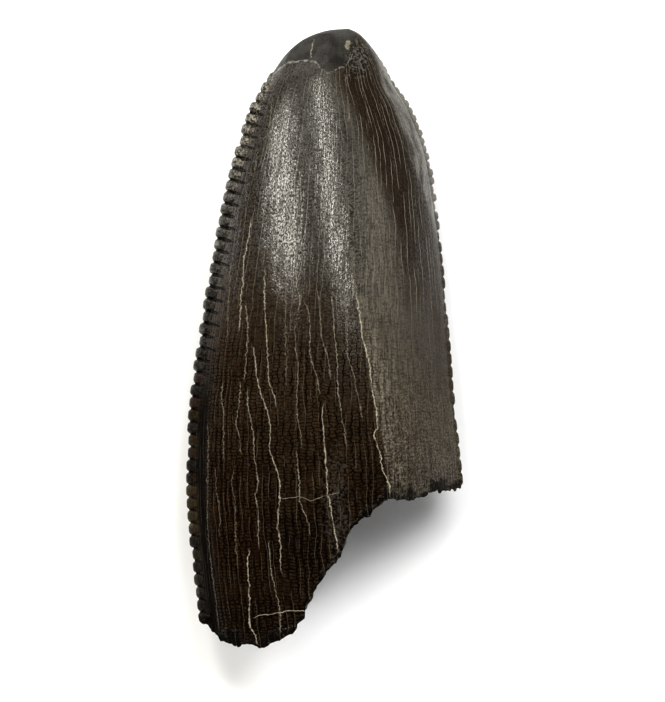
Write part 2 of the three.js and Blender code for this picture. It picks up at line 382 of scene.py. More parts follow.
def cutAway(piece, cutter, finish):
    # the faces that the cut leaves get their own finish
    applyModifier(cutter, 'TRIANGULATE')
    cutFace = BVHTree.FromObject(cutter, bpy.context.evaluated_depsgraph_get())
    applyModifier(piece, 'BOOLEAN', object=cutter, operation='DIFFERENCE', solver='MANIFOLD')
    bpy.data.objects.remove(cutter)
    for face in piece.data.polygons:
        gap = cutFace.find_nearest(face.center, wear['cutSearch'])[3]
        face.material_index = finish if gap is not None and gap < wear['cutGap'] else 0


def countTriangles(piece):
    piece.data.calc_loop_triangles()
    return len(piece.data.loop_triangles)


def markPlaces(piece):
    # attributes for the finishes, in mm: the way round and up the crown, how near the cutting edges and the
    # break are, and how many rear denticles are below
    mesh = piece.data
    x, y, z = readPoints(piece).T
    y = np.clip(y, 0, crown['length'] - 0.05)
    halfWidth = (frontX(y) - rearX(y)) / 2
    place = np.clip((2 * x - rearX(y) - frontX(y)) / (2 * halfWidth), -1, 1)
    seam = middleZ(y) + np.where(place > 0, -frontSink(y), rearLift(y)) * np.abs(place)
    upper = np.where(z > seam, 1.0, -1.0)
    wayRound = crown['meanRadius'] * np.arccos(place) * upper
    for name, values in (('wayRound', (wayRound, y, upper)),
                         ('edgeGap', (x - rearX(y), frontX(y) - x, y - breakY(x)))):
        spots = mesh.attributes.new(name, 'FLOAT_VECTOR', 'POINT')
        spots.data.foreach_set('vector', np.stack(values, axis=1).astype(np.float32).ravel())
    rearPlaces = denticlePlaces(denticle['rear'], math.pi)
    counts = np.interp(y, rearPlaces, np.arange(len(rearPlaces)))
    spots = mesh.attributes.new('denticleCount', 'FLOAT', 'POINT')
    spots.data.foreach_set('value', counts.astype(np.float32))


class NodeMaker:
    # adds shader nodes: a value that is a socket is linked, and any other is set
    def __init__(self, tree):
        self.tree = tree

    def put(self, socket, value):
        if isinstance(value, bpy.types.NodeSocket):
            self.tree.links.new(value, socket)
        elif hasattr(value, '__len__') and len(socket.default_value) == 4 and len(value) == 3:
            socket.default_value = (*value, 1)
        else:
            socket.default_value = value

    def add(self, kind, inputs=None, **settings):
        node = self.tree.nodes.new(kind)
        for name, value in settings.items():
            setattr(node, name, value)
        for name, value in (inputs or {}).items():
            self.put(node.inputs[name], value)
        return node.outputs

    def math(self, operation, a, b=0.0, c=0.0):
        return self.add('ShaderNodeMath', {0: a, 1: b, 2: c}, operation=operation)[0]

    def plus(self, a, b):
        return self.math('ADD', a, b)

    def minus(self, a, b):
        return self.math('SUBTRACT', a, b)

    def times(self, product, *others):
        for other in others:
            product = self.math('MULTIPLY', product, other)
        return product

    def scaled(self, a, b, c):
        return self.math('MULTIPLY_ADD', a, b, c)

    def most(self, a, b):
        return self.math('MAXIMUM', a, b)

    def distance(self, a, b):
        return self.math('ABSOLUTE', self.minus(a, b))

    def combine(self, x, y, z=0.0):
        return self.add('ShaderNodeCombineXYZ', {0: x, 1: y, 2: z})[0]

    def split(self, vector):
        parts = self.add('ShaderNodeSeparateXYZ', {0: vector})
        return parts[0], parts[1], parts[2]

    def step(self, value, low, high, toLow=0.0, toHigh=1.0):
        # a smooth step from one value to another
        return self.add('ShaderNodeMapRange', {'Value': value, 'From Min': low, 'From Max': high,
                                               'To Min': toLow, 'To Max': toHigh},
                        interpolation_type='SMOOTHSTEP')['Result']

    def noise(self, vector, scale, detail=2.0, roughness=0.5):
        return self.add('ShaderNodeTexNoise', {'Vector': vector, 'Scale': scale, 'Detail': detail,
                                               'Roughness': roughness})[0]

    def cells(self, inputs, dimensions):
        # how far a place is from the border of its cell
        return self.add('ShaderNodeTexVoronoi', inputs, voronoi_dimensions=dimensions,
                        feature='DISTANCE_TO_EDGE')['Distance']

    def mix(self, amount, a, b):
        # two colours; sockets 6 and 7 are the colour ones
        return self.add('ShaderNodeMix', {0: amount, 6: a, 7: b}, data_type='RGBA')[2]

    def ramp(self, value, stops):
        node = self.tree.nodes.new('ShaderNodeValToRGB')
        while len(node.color_ramp.elements) < len(stops):
            node.color_ramp.elements.new(0.5)
        for element, (position, colour) in zip(node.color_ramp.elements, stops):
            element.position = position
            element.color = (*colour, 1)
        self.put(node.inputs[0], value)
        return node.outputs[0]

    def curve(self, value, points):
        # a line through points whose positions and values both run from 0 to 1
        node = self.tree.nodes.new('ShaderNodeFloatCurve')
        line = node.mapping.curves[0]
        while len(line.points) < len(points):
            line.points.new(0.5, 0.5)
        for point, place in zip(line.points, points):
            point.location = place
            point.handle_type = 'VECTOR'
        node.mapping.update()
        self.put(node.inputs['Value'], value)
        return node.outputs[0]


# The pale cracks are drawn on a grid of this many mm, counted right from the middle of the crown and down
# from the tip's side. Each one is a list of places, with its half width in grid steps and how pale it is.
crackGrid = {
    'step': 0.04878, 'middle': 324.5, 'base': 645,
    'belowTurn': -1.07, 'belowSide': -6, 'belowUp': 14.0,  # how the lines lie on the underside
    'ragged': (8.0, 4.0),      # steps, how far a crack strays from its line
    'clean': 0.62,             # of a crack's half width, where it has faded
}
# ragged spots on the same grid: [middle, half size]
tipChipSpot = ((348, 44), (3.6, 8))
tipSpallSpot = ((358, 60), (16, 25))
roughSpot = ((336, 505), (17, 75))
longCracks = [
    ([(355, 289), (359, 311), (362, 337), (369, 363), (371, 385), (376, 409), (377, 427), (373, 434),
      (379, 450), (382, 469), (389, 484), (389, 498)], 1.25, 1.0),
    ([(251, 341), (255, 354), (257, 376), (262, 395), (268, 411), (271, 426), (270, 450), (276, 465),
      (280, 480), (280, 498), (278, 524), (281, 543), (281, 565), (284, 576)], 1.1, 0.95),
    ([(248, 385), (248, 404), (254, 432), (255, 458), (259, 480), (256, 495), (259, 510), (259, 539),
      (260, 550)], 0.9, 0.8),
    ([(252, 217), (248, 243), (244, 261), (243, 283), (241, 304), (240, 333)], 1.1, 0.9),
    ([(246, 302), (248, 322), (248, 342), (246, 367), (245, 381)], 0.9, 0.8),
    ([(265, 268), (265, 304), (267, 330), (268, 359), (269, 381), (275, 396), (277, 409)], 1.0, 0.9),
    ([(293, 222), (295, 256), (297, 287), (300, 298), (299, 315)], 0.8, 0.75),
    ([(303, 298), (310, 315), (310, 357), (317, 376), (320, 396)], 0.8, 0.75),
    ([(317, 287), (320, 311), (322, 339), (328, 357), (331, 381)], 0.8, 0.7),
    ([(332, 291), (334, 330), (337, 357), (338, 394), (343, 422), (347, 448)], 0.8, 0.8),
    ([(347, 298), (347, 354), (354, 376), (359, 403), (363, 422)], 0.8, 0.65),
    ([(286, 289), (286, 341), (287, 378)], 0.7, 0.65),
    ([(295, 322), (296, 348), (298, 363), (298, 385), (297, 395), (298, 417), (302, 439), (302, 450)],
     0.8, 0.75),
    ([(297, 448), (300, 484), (300, 500), (308, 519), (311, 535)], 0.85, 0.8),
    ([(324, 400), (322, 415), (324, 434), (326, 465), (328, 491), (332, 513), (337, 543), (338, 554)],
     1.1, 0.95),
    ([(208, 417), (209, 441), (208, 480), (208, 528), (211, 558), (214, 583), (219, 620), (220, 633)],
     0.75, 0.6),
    ([(224, 380), (222, 393), (224, 413), (224, 436), (224, 461)], 0.8, 0.7),
    ([(241, 380), (240, 404), (236, 423), (240, 436), (242, 454)], 0.85, 0.75),
    ([(235, 465), (232, 484), (236, 500), (236, 546), (239, 569)], 0.75, 0.6),
    ([(216, 465), (217, 491), (221, 513), (220, 537)], 0.75, 0.6),
    ([(250, 546), (248, 561), (250, 585), (250, 622), (256, 633), (259, 644)], 1.1, 0.95),
    ([(269, 537), (272, 571), (276, 589), (281, 609), (281, 632)], 0.85, 0.8),
    ([(231, 262), (229, 300), (228, 330), (226, 345)], 0.7, 0.55),
    ([(345, 73), (346, 85), (348, 105), (349, 125)], 0.8, 0.6),
    ([(314, 38), (312, 48), (310, 59)], 1.0, 1.0),
    ([(272, 96), (271, 112), (269, 134), (263, 140), (257, 143)], 0.7, 0.6),
    ([(284, 66), (277, 75), (271, 86)], 0.7, 0.5),
    ([(301, 64), (298, 70), (288, 76), (285, 84)], 0.7, 0.5),
    ([(318, 72), (314, 78), (309, 90)], 0.6, 0.45),
    ([(258, 151), (256, 162), (255, 173), (249, 177)], 0.7, 0.55),
    ([(246, 182), (246, 212)], 0.6, 0.5),
    ([(359, 73), (365, 100), (370, 131)], 0.6, 0.5),
    ([(370, 71), (379, 105), (388, 139), (396, 175)], 0.6, 0.5),
    ([(378, 93), (396, 130), (415, 168)], 0.6, 0.5),
]
crossCracks = [
    ([(253, 616), (261, 613), (281, 610), (287, 608), (308, 608)], 0.95, 0.9),
    ([(280, 497), (299, 495), (311, 499), (326, 494), (341, 490)], 0.8, 0.7),
]
# the width in mm of the pale strip at the front edge, a painted reflection, between two heights up the
# crown
pallor = {'from': 20.0, 'to': 30.0,
          'width': [(0, 0), (0.034, 0.08), (0.14, 0.27), (0.29, 0.62), (0.5, 0.76), (0.69, 0.68),
                    (0.81, 0.38), (0.94, 0.14), (1, 0.1)]}
# the rim of the tip's worn flat, on the drawing grid
facetRim = [(272, 76), (280, 67), (288, 62), (305, 60), (316, 62), (322, 70), (329, 73), (338, 68),
            (346, 65), (352, 56), (358, 40)]


def drawLine(maker, along, across, points):
    # how far a place is across from a drawn line, in grid steps, and how far along the line it is, 0 to 1
    starts = [p[0] for p in points]
    sides = [p[1] for p in points]
    low, high = min(sides) - 0.5, max(sides) + 0.5
    span = max(starts) - min(starts)
    part = maker.add('ShaderNodeMapRange', {'Value': along, 'From Min': min(starts),
                                            'From Max': max(starts)})[0]
    line = maker.curve(part, [((a - min(starts)) / span, (b - low) / (high - low)) for a, b in points])
    offset = maker.minus(across, maker.scaled(line, high - low, low))
    return offset, part


def spotAt(maker, gridX, gridY, spot, ragged):
    # a ragged spot on the drawing grid
    middle, size = spot
    across = maker.math('DIVIDE', maker.minus(gridX, middle[0]), size[0])
    along = maker.math('DIVIDE', maker.minus(gridY, middle[1]), size[1])
    away = maker.math('SQRT', maker.plus(maker.times(across, across), maker.times(along, along)))
    return maker.step(maker.scaled(ragged, 2.4, away), 2.1, 1.7)


def drawCracks(maker, gridX, gridY):
    # jittered a little, so that no crack runs straight
    spot = maker.combine(gridX, gridY)
    wide, narrow = crackGrid['ragged']
    jitter = maker.scaled(maker.noise(spot, 0.17, 4, 0.85), wide, -wide / 2)
    turned = maker.combine(gridY, gridX, 7.0)
    jitterAcross = maker.scaled(maker.noise(turned, 0.14, 3, 0.6), narrow, -narrow / 2)
    total = None
    for cracks, along, across in ((longCracks, gridY, maker.plus(gridX, jitter)),
                                  (crossCracks, gridX, maker.plus(gridY, jitterAcross))):
        for points, halfWidth, pale in cracks:
            ordered = [(q, p) for p, q in points] if cracks is longCracks else points
            offset, part = drawLine(maker, along, across, ordered)
            ends = maker.step(maker.math('PINGPONG', part, 0.5), 0.0, 0.07)
            gap = maker.math('ABSOLUTE', offset)
            faded = maker.step(gap, halfWidth * 0.1, halfWidth * crackGrid['clean'], pale ** 2, 0.0)
            line = maker.times(faded, ends)
            total = line if total is None else maker.most(total, line)
    # here and there the filling has fallen out
    filling = maker.step(maker.noise(spot, 0.11, 2, 0.6), 0.32, 0.5, 0.45, 1.0)
    return maker.times(total, filling)


enamel = {
    'chocolate': (0.0105, 0.0050, 0.0020),
    'umber': (0.0185, 0.0105, 0.0048),
    'ochre': (0.043, 0.028, 0.0148),
    'rust': (0.025, 0.0100, 0.0034),
    'black': (0.0018, 0.0013, 0.0011),
    # tan and tanLow colour the front flank: partly a paler tone, partly painted sheen
    'tan': (0.165, 0.144, 0.108),
    'tanLow': (0.070, 0.058, 0.042),
    'dust': (0.29, 0.265, 0.215),
    'russet': (0.078, 0.062, 0.049),
    'greyed': (0.060, 0.057, 0.050),
    'neutral': (0.038, 0.0345, 0.029),
    # a painted highlight at the tip
    'paintedTipHighlight': (0.094, 0.090, 0.080),
    # a painted reflection on the steep front edge
    'strip': (0.175, 0.168, 0.150),
    'mineral': (0.36, 0.33, 0.265),
    'amber': (0.042, 0.031, 0.014),
    'wine': (0.0215, 0.0105, 0.0085),
    'soot': (0.0125, 0.0115, 0.0100),
    'cell': (0.040, 0.029, 0.018),
    'polish': (0.050, 0.048, 0.043),
    'polishDark': (0.026, 0.0245, 0.0225),
    'chip': (0.20, 0.19, 0.165),
    'beige': (0.25, 0.225, 0.175),
    'grain': 10.0,             # grains per mm
    'tanUp': (7.0, 17.0), 'tanIn': (3.3, 4.1),  # mm, how far in the tan flank runs at two heights
}

# where each part of the enamel's finish begins and where it is full, in mm up the crown (Up) or in from a
# cutting edge (In), and how strong it is at both; facetSide is on the drawing grid
zone = {
    'netUp': (13.5, 17.0, 1.0, 0.12), 'netIn': (2.8, 4.6, 0.35, 1.0), 'darkUp': (13.0, 19.5),
    'rayUp': (15.0, 19.0), 'fleckUp': (15.4, 19.8), 'tanSoftUp': (16.0, 20.0, 0.3, 1.1),
    'tanEdgeIn': (0.5, 3.7, 0.22, 1.0), 'tanEdgeUp': (15.0, 9.0, 0.0, 0.68),
    'tanTopUp': (25.0, 21.5, 0.12, 1.0), 'tanPaleUp': (8.0, 15.0), 'streakIn': (3.0, 5.0, 0.12, 0.4),
    'russetIn': (2.6, 1.0), 'russetUp': (13.0, 18.0), 'etchedUp': (14.0, 20.5),
    'etchedIn': (2.8, 4.2, 0.2, 1.0), 'umberIn': (1.5, 0.6), 'umberUp': (10.0, 14.0, 0.0, 0.7),
    'greyUp': (21.5, 26.5, 0.0, 0.75), 'greyIn': (2.6, 3.2), 'greyRearIn': (0.5, 1.6),
    'washIn': (7.4, 5.0), 'washUp': (10.5, 15.5, 0.0, 0.6), 'bandIn': (0.95, 0.55),
    'bandUp': (15.0, 11.0), 'sulcusUp': (9.0, 15.0, 0.2, 1.0), 'sulcusEnd': (27.6, 26.6),
    'denticleIn': (0.45, 0.15), 'stainUp': (4.0, 7.5, 0.3, 1.0), 'stainEnd': (15.5, 12.5, 0.2, 1.0),
    'dustUp': (11.0, 16.0, 0.3, 0.75), 'dustPaleUp': (20.0, 25.0), 'paleTeethIn': (0.12, -0.08),
    'paleTeethUp': (19.5, 22.0, 0.0, 0.85), 'roughIn': (3.6, 2.8, 0.0, 0.12),
    'dullIn': (3.6, 2.8, 0.0, 0.5), 'dullUp': (17.0, 14.0), 'dullEdgeIn': (1.0, 0.5, 0.0, 0.7),
    'reliefUp': (12.0, 16.0, 0.001, 0.0065), 'facetSide': (356.0, 351.0),
}


def makeEnamel():
    finish = bpy.data.materials.new('fossilEnamel')
    finish.use_nodes = True
    tree = finish.node_tree
    maker = NodeMaker(tree)
    shader = tree.nodes['Principled BSDF']
    place = maker.add('ShaderNodeVectorMath', {0: maker.add('ShaderNodeTexCoord')['Object'],
                                               1: (1 / mm,) * 3, 2: -toFrame},
                      operation='MULTIPLY_ADD')[0]  # mm, in the crown's own measure
    x, y, _ = maker.split(place)
    wayRound, wayUp, upper = maker.split(maker.add('ShaderNodeAttribute',
                                                   attribute_name='wayRound')['Vector'])
    rearGap, frontGap, breakGap = maker.split(maker.add('ShaderNodeAttribute',
                                                        attribute_name='edgeGap')['Vector'])
    rearCount = maker.add('ShaderNodeAttribute', attribute_name='denticleCount')['Fac']
    # the underside shows other cracks: the same lines, turned over and moved
    step = crackGrid['step']
    below = maker.step(upper, -0.5, 0.5, 1.0, 0.0)
    above = maker.minus(1.0, below)
    gridX = maker.scaled(x, 1 / step, crackGrid['middle'])
    turnedX = maker.scaled(x, crackGrid['belowTurn'] / step, crackGrid['middle'] + crackGrid['belowSide'])
    gridX = maker.add('ShaderNodeMix', {0: below, 2: gridX, 3: turnedX})[0]
    gridY = maker.scaled(y, -1 / step, crackGrid['base'])
    gridY = maker.scaled(below, crackGrid['belowUp'], gridY)
    cracks = drawCracks(maker, gridX, gridY)
    # two noises that several finishes share
    ragged = maker.noise(place, 3.5, 3, 0.7)
    pits = maker.noise(place, 7.0, 2)

    # patterns that follow the surface
    around = maker.combine(wayRound, wayUp)

    def coat(colour, name, *amounts):
        # one of the enamel's colours over what is there already
        return maker.mix(maker.times(*amounts), colour, enamel[name])

    def within(value, name):
        # how far a place is into one of the zones
        return maker.step(value, *zone[name])

    def along(across, up, shift, detail, roughness=0.5, scale=1.0):
        # noise that is drawn out up the crown or across it
        spot = maker.combine(maker.times(wayRound, across), maker.times(wayUp, up), shift)
        return maker.noise(spot, scale, detail, roughness)

    streak = along(6.0, 0.5, 0.0, 4, 0.6)
    fineStreak = along(13.0, 1.3, 4.0, 2)
    # drying cracks make a fine net, with its longer lines across the crown
    warp = maker.noise(around, 1.2, 3)
    netRound = maker.scaled(warp, 0.6, maker.times(wayRound, 3.2))
    netRise = maker.scaled(warp, 2.6, maker.times(wayUp, 6.2))
    net = maker.cells({'Vector': maker.combine(netRound, netRise), 'Scale': 1.0, 'Randomness': 0.52},
                      '2D')
    netLine = maker.step(net, 0.03, 0.15, 1.0, 0.0)
    netHere = maker.times(maker.step(maker.noise(around, 0.9, 3), 0.3, 0.52, 0.4, 1.0),
                          within(y, 'netUp'), within(frontGap, 'netIn'))
    netLine = maker.times(netLine, netHere)
    netCell = maker.times(maker.step(net, 0.12, 0.36, 0.0, 0.5), netHere)
    wrinkle = along(2.4, 9.0, 2.0, 2, 0.55)
    # thin pale lines that run to the tip
    rayRound = maker.scaled(maker.noise(around, 0.5, 3, 0.6), 0.5, wayRound)
    ray = maker.cells({'W': rayRound, 'Scale': 2.9, 'Randomness': 0.9}, '1D')
    rayHere = maker.step(along(3.0, 0.35, 9.0, 2, 0.6), 0.42, 0.56)
    rays = maker.times(maker.step(ray, 0.01, 0.07, 1.0, 0.0), rayHere)
    # the steep strip at the front edge near the tip is painted paler, a painted reflection, and the enamel
    # beside it is painted dark, a painted shade
    stripPart = maker.add('ShaderNodeMapRange', {'Value': y, 'From Min': pallor['from'],
                                                 'From Max': pallor['to']})[0]
    stripEdge = maker.curve(stripPart, pallor['width'])
    stripGap = maker.scaled(maker.minus(fineStreak, 0.5), 0.35, maker.minus(frontGap, stripEdge))
    paintedReflectionBand = maker.times(maker.step(stripGap, 0.07, -0.09), maker.step(stripEdge, 0.02, 0.15))
    paintedShadeBand = maker.times(maker.step(stripGap, -0.1, 0.12), maker.step(stripGap, 2.5, 1.5),
                           within(y, 'darkUp'))
    rayPale = maker.scaled(within(y, 'rayUp'), 0.16, 0.14)
    rays = maker.times(rays, maker.scaled(paintedShadeBand, 0.42, rayPale))
    grain = maker.noise(place, enamel['grain'], 1.5, 0.5)
    fleck = maker.step(along(1.7, 0.9, 0.0, 1.0, scale=8.0), 0.38, 0.62)
    wander = maker.scaled(along(1.6, 0.5, 3.0, 3), 7.0, maker.minus(y, 3.5))
    tipward = within(wander, 'fleckUp')
    # the enamel has spalled off along the break
    spall = maker.scaled(maker.noise(place, 1.1, 3, 0.6), -2.6, maker.plus(breakGap, 1.0))
    spall = maker.step(spall, 0.35, -0.15)
    blotch = maker.noise(place, 0.55, 3, 0.55)

    # the colours, from the ground up: brown, with rust patches, and ochre patches that come in towards the
    # tip and make it lighter
    colour = maker.mix(maker.step(blotch, 0.35, 0.62), enamel['chocolate'], enamel['umber'])
    rust = maker.times(maker.step(maker.distance(rearGap, 2.0), 0.4, 2.4, 1.0, 0.0),
                       maker.step(maker.distance(y, 5.8), 1.0, 4.5, 1.0, 0.0))
    colour = coat(colour, 'rust', rust, maker.step(streak, 0.35, 0.6, 0.2, 0.7))
    ochre = maker.times(maker.step(maker.scaled(blotch, 10.0, y), 10.0, 18.0, 0.0, 0.85),
                        maker.step(grain, 0.3, 0.6, 0.45, 1.0))
    colour = coat(colour, 'ochre', ochre)
    # the front flank is tan, from the long crack to the edge: partly a paler tone of the enamel, partly
    # painted sheen
    tanFrom = maker.add('ShaderNodeMapRange', {'Value': y, 'From Min': enamel['tanUp'][0],
                                               'From Max': enamel['tanUp'][1],
                                               'To Min': enamel['tanIn'][0],
                                               'To Max': enamel['tanIn'][1]})[0]
    tanSoft = maker.scaled(below, 0.9, within(y, 'tanSoftUp'))
    tanAndSheen = maker.step(maker.math('DIVIDE', maker.minus(frontGap, tanFrom), tanSoft), 1.0, -0.2)
    tanAndSheen = maker.times(tanAndSheen, maker.step(streak, 0.25, 0.6, 0.45, 1.0))
    tanEdge = maker.most(within(frontGap, 'tanEdgeIn'), within(y, 'tanEdgeUp'))
    tanAndSheen = maker.times(tanAndSheen, tanEdge, within(y, 'tanTopUp'))
    colour = maker.mix(tanAndSheen, colour, maker.mix(within(y, 'tanPaleUp'), enamel['tanLow'],
                                                  enamel['tan']))
    tanDust = maker.times(tanAndSheen, maker.step(grain, 0.4, 0.64, 0.0, 0.6))
    colour = coat(colour, 'dust', tanDust)
    tanLine = maker.times(tanAndSheen, maker.step(fineStreak, 0.5, 0.36, 0.0, 0.75))
    colour = coat(colour, 'umber', tanLine)
    tanPit = maker.times(tanAndSheen, maker.step(pits, 0.48, 0.34, 0.0, 0.6))
    colour = coat(colour, 'umber', tanPit)
    streakDark = within(frontGap, 'streakIn')
    colour = coat(colour, 'black', maker.step(streak, 0.52, 0.34), streakDark)
    colour = coat(colour, 'tan', maker.step(fineStreak, 0.5, 0.72, 0.0, 0.14))
    upperRear = maker.times(within(rearGap, 'russetIn'), within(y, 'russetUp'))
    colour = coat(colour, 'russet', upperRear, maker.step(grain, 0.35, 0.6, 0.35, 0.9))
    # nearer the tip the surface is neutral, dark and pale in turn at the scale of the grains: partly an
    # etched grain, partly painted sheen where the highlights fall
    scales = maker.combine(maker.times(wayRound, 5.5), maker.times(wayUp, 4.5), warp)
    scaly = maker.cells({'Vector': scales, 'Scale': 1.0}, '3D')
    scaly = maker.times(maker.step(scaly, 0.02, 0.12, 1.0, 0.0), maker.step(grain, 0.35, 0.6, 0.3, 1.0))
    etchedAndSheen = maker.times(within(wander, 'etchedUp'), within(frontGap, 'etchedIn'))
    colour = coat(colour, 'neutral', etchedAndSheen, 0.45)
    colour = coat(colour, 'black', etchedAndSheen, maker.step(grain, 0.54, 0.4, 0.0, 0.8))
    colour = coat(colour, 'greyed', etchedAndSheen, maker.times(scaly, 0.8))
    # umber beside the rear denticles
    besideRear = maker.times(within(rearGap, 'umberIn'), within(y, 'umberUp'))
    colour = coat(colour, 'umber', besideRear, maker.step(grain, 0.6, 0.4, 0.4, 1.0))
    # the last few mm are painted grey: a painted highlight
    paintedTipHighlight = maker.times(within(y, 'greyUp'), within(frontGap, 'greyIn'),
                          maker.times(within(rearGap, 'greyRearIn'), above), maker.step(streak, 0.3, 0.6,
                                                                                        0.3, 1.0))
    colour = coat(colour, 'paintedTipHighlight', paintedTipHighlight, maker.step(grain, 0.3, 0.66, 0.35, 1.0))
    colour = coat(colour, 'black', maker.step(wrinkle, 0.5, 0.34, 0.0, 0.5),
                  maker.scaled(tanAndSheen, -0.4, 1.0))
    # a grey wash beside the long crack, a painted highlight, and the paler cells of the net
    paintedHighlightWash = maker.times(within(frontGap, 'washIn'), within(y, 'washUp'))
    colour = coat(colour, 'greyed', paintedHighlightWash, maker.step(grain, 0.42, 0.6, 0.25, 1.0))
    netCell = maker.times(netCell, maker.minus(1.0, tanAndSheen))
    colour = coat(colour, 'cell', netCell, maker.step(grain, 0.36, 0.62, 0.2, 1.0))
    # a dark band beside the lower rear denticles
    band = maker.times(within(rearGap, 'bandIn'), within(y, 'bandUp'))
    colour = coat(colour, 'black', band, 0.75)
    colour = coat(colour, 'black', netLine, 0.95)
    # the hollows between the denticles run on over the crown
    slant = maker.scaled(rearGap, 0.45, rearCount)
    notch = maker.distance(maker.math('FRACT', slant), 0.5)
    reach = maker.scaled(maker.noise(maker.combine(0.0, y), 1.7, 1), 1.6, 0.15)
    sulcus = maker.times(maker.step(notch, 0.03, 0.17, 1.0, 0.0),
                         maker.step(maker.math('DIVIDE', rearGap, reach), 1.0, 0.6),
                         within(y, 'sulcusUp'), within(y, 'sulcusEnd'))
    colour = coat(colour, 'black', sulcus, 0.8)
    # each rear denticle has its own stain, and those in the middle are the strongest
    onDenticles = within(rearGap, 'denticleIn')
    own = maker.add('ShaderNodeTexWhiteNoise', {'W': maker.math('FLOOR', maker.plus(rearCount, 0.5))},
                    noise_dimensions='1D')['Value']
    stain = maker.ramp(own, [(0.0, enamel['soot']), (0.35, enamel['chocolate']), (0.6, enamel['amber']),
                             (0.85, enamel['wine']), (1.0, enamel['soot'])])
    stained = maker.times(within(y, 'stainUp'), within(y, 'stainEnd'))
    stain = maker.mix(stained, enamel['soot'], stain)
    stain = maker.mix(maker.times(maker.step(grain, 0.42, 0.62), within(y, 'dustUp')), stain,
                      maker.mix(within(y, 'dustPaleUp'), enamel['greyed'], enamel['dust']))
    colour = maker.mix(onDenticles, colour, stain)
    colour = coat(colour, 'black', onDenticles, maker.step(notch, 0.03, 0.13, 0.75, 0.0))
    # the spalled edge of the break
    colour = coat(colour, 'black', spall, 0.8)
    colour = coat(colour, 'chip', spall, maker.step(pits, 0.6, 0.7, 0.0, 0.25))
    # the band beside the pale strip is darkened: painted shade
    colour = coat(colour, 'umber', paintedShadeBand, 0.8)
    # the pale strip, a painted reflection, is streaked along the edge, and the denticles beside it are
    # painted as pale
    stripStreak = maker.noise(maker.combine(maker.times(frontGap, 5.0), maker.times(y, 0.8), 6.0), 1.0,
                              3, 0.6)
    colour = maker.mix(paintedReflectionBand, colour, maker.mix(maker.times(maker.step(grain, 0.3, 0.55, 0.45, 1.0),
                                                               maker.step(stripStreak, 0.34, 0.62)),
                                                   enamel['neutral'], enamel['strip']))
    paintedReflectionTeeth = maker.times(within(frontGap, 'paleTeethIn'), within(y, 'paleTeethUp'))
    colour = coat(colour, 'chip', paintedReflectionTeeth)
    colour = coat(colour, 'mineral', rays)
    # a rough patch, and then the long cracks over all of it
    roughPatch = maker.times(spotAt(maker, gridX, gridY, roughSpot, ragged),
                             maker.step(maker.noise(place, 8.0, 2), 0.45, 0.62, 0.0, 0.6))
    colour = coat(colour, 'greyed', roughPatch)
    colour = coat(colour, 'mineral', cracks)

    # the polished flat at the tip, with its chipped pale rim
    rimAcross = maker.scaled(maker.noise(place, 4.0, 2), 5.0, maker.minus(gridY, 2.5))
    rimOffset = drawLine(maker, gridX, rimAcross, facetRim)[0]
    nearTip = maker.times(above, within(gridX, 'facetSide'))
    polished = maker.times(maker.step(rimOffset, 0.8, -0.8), nearTip, maker.scaled(cracks, -0.9, 1.0))
    rim = maker.times(maker.step(maker.distance(rimOffset, 0.8), 0.4, 1.5, 1.0, 0.0), nearTip,
                      maker.step(maker.noise(place, 5.0, 3, 0.7), 0.38, 0.62, 0.0, 1.0))
    tipChip = maker.times(spotAt(maker, gridX, gridY, tipChipSpot, ragged), above)
    tipSpall = maker.times(spotAt(maker, gridX, gridY, tipSpallSpot, ragged), above)
    scallop = maker.times(maker.step(maker.distance(rimOffset, 3.0), 1.0, 4.5, 1.0, 0.0), nearTip)
    colour = coat(colour, 'greyed', scallop, maker.step(maker.noise(place, 6.0, 3), 0.4, 0.6, 0.0, 0.5))
    colour = maker.mix(maker.times(polished, 0.92), colour,
                       maker.mix(maker.step(maker.noise(place, 1.6, 3), 0.35, 0.65), enamel['polish'],
                                 enamel['polishDark']))
    speckle = maker.step(maker.noise(place, 5.5, 4, 0.75), 0.46, 0.62)
    colour = maker.mix(maker.times(tipSpall, 0.55), colour, maker.mix(speckle, enamel['black'],
                                                                      enamel['chip']))
    colour = coat(colour, 'beige', tipChip, maker.step(maker.noise(place, 8.0, 3, 0.7), 0.35, 0.6, 0.35,
                                                       0.95))
    colour = coat(colour, 'chip', rim)
    maker.put(shader.inputs['Base Color'], colour)

    # roughness: the grained part and the broken places are duller
    rough = maker.scaled(fleck, -0.07, maker.step(tipward, 0.0, 1.0, 0.19, 0.27))
    rough = maker.plus(rough, within(frontGap, 'roughIn'))
    rough = maker.scaled(onDenticles, 0.12, rough)
    rough = maker.scaled(maker.most(cracks, spall), 0.35, rough)
    rough = maker.scaled(polished, -0.05, rough)
    maker.put(shader.inputs['Roughness'], rough)
    # the hollows and the edges hardly shine, and the flecks do
    hollow = maker.most(maker.times(netLine, 0.9), maker.times(sulcus, 0.7))
    hollow = maker.most(hollow, maker.times(band, 0.85))
    hollow = maker.most(hollow, maker.times(maker.most(paintedShadeBand, spall), 0.65))
    hollow = maker.most(hollow, maker.times(onDenticles, 0.2))
    hollow = maker.most(hollow, maker.times(within(frontGap, 'dullIn'), within(y, 'dullUp')))
    frontSide = maker.times(within(frontGap, 'dullEdgeIn'), maker.minus(1.0, paintedReflectionBand))
    hollow = maker.most(hollow, frontSide)
    shine = maker.scaled(maker.times(fleck, tipward, maker.step(streak, 0.35, 0.58, 0.35, 1.45)), 0.62,
                         0.17)
    shine = maker.times(shine, maker.minus(1.0, hollow), maker.scaled(paintedReflectionBand, -0.75, 1.0))
    maker.put(shader.inputs['Specular IOR Level'], shine)
    shader.inputs['IOR'].default_value = 1.5

